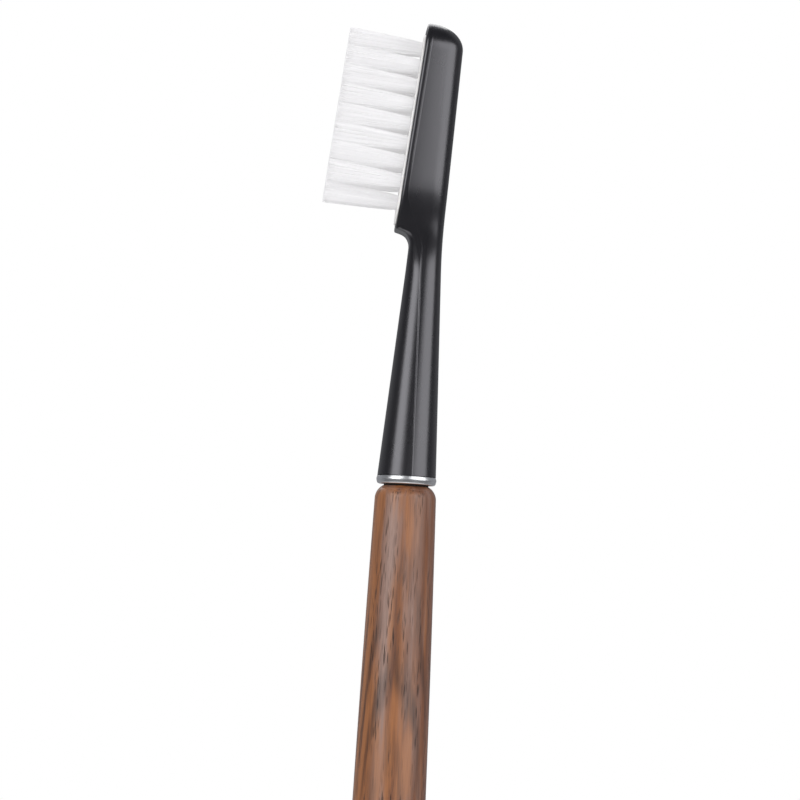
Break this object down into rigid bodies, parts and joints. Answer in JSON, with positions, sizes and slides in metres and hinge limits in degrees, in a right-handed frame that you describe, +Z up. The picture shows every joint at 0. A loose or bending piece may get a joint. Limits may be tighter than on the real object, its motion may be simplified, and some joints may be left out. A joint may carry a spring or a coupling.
{
  "type": "manual toothbrush",
  "caption": "Manual toothbrush with a turned walnut handle, a chrome collar ring and a screw-on black head that carries flat-trimmed white tufts.",
  "frame": {"origin": "centre of the flat on the handle's butt", "axes": "+Z up the handle's axis towards the head, -X the way the bristles face, Y the width"},
  "size_m": [0.0208, 0.0118, 0.1817],
  "materials": {
    "walnut": "oiled satin",
    "brass": "turned",
    "black_rubber": "matt",
    "chrome": "polished",
    "steel": "turned",
    "black_plastic": "gloss moulded",
    "white_plastic": "gloss moulded",
    "nylon": "fine filaments"
  },
  "bodies": {
    "handle": {"handle": "walnut", "handle_bush": "brass", "seal_washer": "black_rubber"},
    "collar": {"collar_ring": "chrome"},
    "brush_head": {"head_and_neck": "black_plastic", "neck_stud": "steel", "tuft_plate": "white_plastic", "fused_mat": "nylon", "tuft_row1_column2": "nylon", "tuft_row1_column3": "nylon", "tuft_row2_column1": "nylon", "tuft_row2_column2": "nylon", "tuft_row2_column3": "nylon", "tuft_row2_column4": "nylon", "tuft_row3_column1": "nylon", "tuft_row3_column2": "nylon", "tuft_row3_column3": "nylon", "tuft_row3_column4": "nylon", "tuft_row4_column1": "nylon", "tuft_row4_column2": "nylon", "tuft_row4_column3": "nylon", "tuft_row4_column4": "nylon", "tuft_row5_column1": "nylon", "tuft_row5_column2": "nylon", "tuft_row5_column3": "nylon", "tuft_row5_column4": "nylon", "tuft_row6_column1": "nylon", "tuft_row6_column2": "nylon", "tuft_row6_column3": "nylon", "tuft_row6_column4": "nylon", "tuft_row7_column1": "nylon", "tuft_row7_column2": "nylon", "tuft_row7_column3": "nylon", "tuft_row7_column4": "nylon", "tuft_row8_column1": "nylon", "tuft_row8_column2": "nylon", "tuft_row8_column3": "nylon", "tuft_row8_column4": "nylon", "tuft_row9_column2": "nylon", "tuft_row9_column3": "nylon"}
  },
  "joints": [
    {"name": "head_lift", "type": "slide", "parent": "handle", "child": "collar", "axis": [0, 0, 1], "range_m": [0, 0.0063]},
    {"name": "head_unscrew", "type": "hinge", "parent": "collar", "child": "brush_head", "pos_m": [0, 0, 0.1136], "axis": [0, 0, 1], "range_deg": [0, 3240]}
  ],
  "couplings": [
    {"joint": "head_lift", "follows": "head_unscrew", "m_per_rad": 0.00011141}
  ]
}
